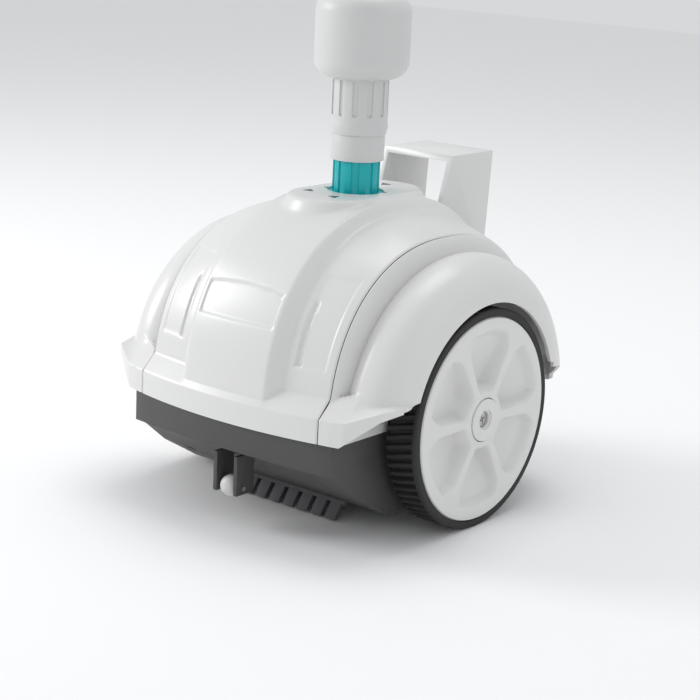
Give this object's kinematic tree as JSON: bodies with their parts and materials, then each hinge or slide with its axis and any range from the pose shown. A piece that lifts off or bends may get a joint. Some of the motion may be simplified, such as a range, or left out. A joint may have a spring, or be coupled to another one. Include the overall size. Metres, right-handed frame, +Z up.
{
  "type": "pool cleaner",
  "caption": "Domed suction pool cleaner on wheels in dark tyres, with a grey chassis, a carrying handle and a swivelling float and cuff on a fluted teal spigot.",
  "frame": {"origin": "on the floor under the middle of the wheel axis and of the body", "axes": "+X to the right wheel, -Y to the front, where the roller is, +Z up"},
  "size_m": [0.24, 0.254, 0.3344],
  "materials": {
    "shell_white": "satin moulded",
    "wheel_white": "satin moulded",
    "fitting_white": "satin moulded",
    "inner_white": "natural",
    "chassis_grey": "fine grained",
    "comb_grey": "matt",
    "tyre_black": "matt moulded rubber",
    "seal_black": "matt",
    "teal": "glossy moulded",
    "steel": "plain stainless"
  },
  "bodies": {
    "body": {"chassis": "chassis_grey", "centre_shell": "shell_white", "left_fender": "shell_white", "right_fender": "shell_white", "handle": "shell_white", "intake_throat": "inner_white", "turbine_housing": "chassis_grey", "riser": "inner_white", "left_gear_plate": "chassis_grey", "right_gear_plate": "chassis_grey", "shaft_bushes": "inner_white", "idler_pins": "steel", "left_axle": "steel", "right_axle": "steel", "axle_screws": "steel", "spigot": "teal", "spigot_seal": "seal_black", "collar_seal": "seal_black", "roller_pin": "steel", "front_comb": "comb_grey", "rear_comb": "comb_grey", "comb_screws": "steel", "shell_screws": "steel", "handle_screws": "steel"},
    "rotor": {"turbine": "teal", "turbine_shaft": "steel", "left_pinion": "inner_white", "right_pinion": "inner_white"},
    "left_idler": {"left_idler_gear": "inner_white"},
    "right_idler": {"right_idler_gear": "inner_white"},
    "left_wheel_set": {"left_wheel": "wheel_white", "left_tyre": "tyre_black", "left_drive_gear": "inner_white", "left_hub_cap": "wheel_white"},
    "right_wheel_set": {"right_wheel": "wheel_white", "right_tyre": "tyre_black", "right_drive_gear": "inner_white", "right_hub_cap": "wheel_white"},
    "hose_swivel": {"swivel_collar": "fitting_white", "hose_cuff": "fitting_white", "float": "fitting_white"},
    "roller": {"front_roller": "fitting_white"}
  },
  "joints": [
    {"name": "right_wheel_spin", "type": "hinge", "parent": "body", "child": "right_wheel_set", "pos_m": [0.1, 0, 0.072], "axis": [1, 0, 0], "continuous": true},
    {"name": "left_wheel_spin", "type": "hinge", "parent": "body", "child": "left_wheel_set", "pos_m": [-0.1, 0, 0.072], "axis": [1, 0, 0], "continuous": true},
    {"name": "right_idler_spin", "type": "hinge", "parent": "body", "child": "right_idler", "pos_m": [0.06, -0.01026, 0.10019], "axis": [1, 0, 0], "continuous": true},
    {"name": "left_idler_spin", "type": "hinge", "parent": "body", "child": "left_idler", "pos_m": [-0.06, -0.01026, 0.10019], "axis": [1, 0, 0], "continuous": true},
    {"name": "turbine_spin", "type": "hinge", "parent": "body", "child": "rotor", "pos_m": [0, 0.01229, 0.1084], "axis": [1, 0, 0], "continuous": true},
    {"name": "hose_turn", "type": "hinge", "parent": "body", "child": "hose_swivel", "pos_m": [0, 0, 0.235], "axis": [0, 0, 1], "continuous": true},
    {"name": "roller_spin", "type": "hinge", "parent": "body", "child": "roller", "pos_m": [0, -0.112, 0.026], "axis": [1, 0, 0], "continuous": true}
  ],
  "couplings": [
    {"joint": "left_wheel_spin", "follows": "right_wheel_spin", "ratio": 1},
    {"joint": "right_idler_spin", "follows": "right_wheel_spin", "ratio": -4},
    {"joint": "left_idler_spin", "follows": "right_wheel_spin", "ratio": -4},
    {"joint": "turbine_spin", "follows": "right_wheel_spin", "ratio": 12}
  ]
}
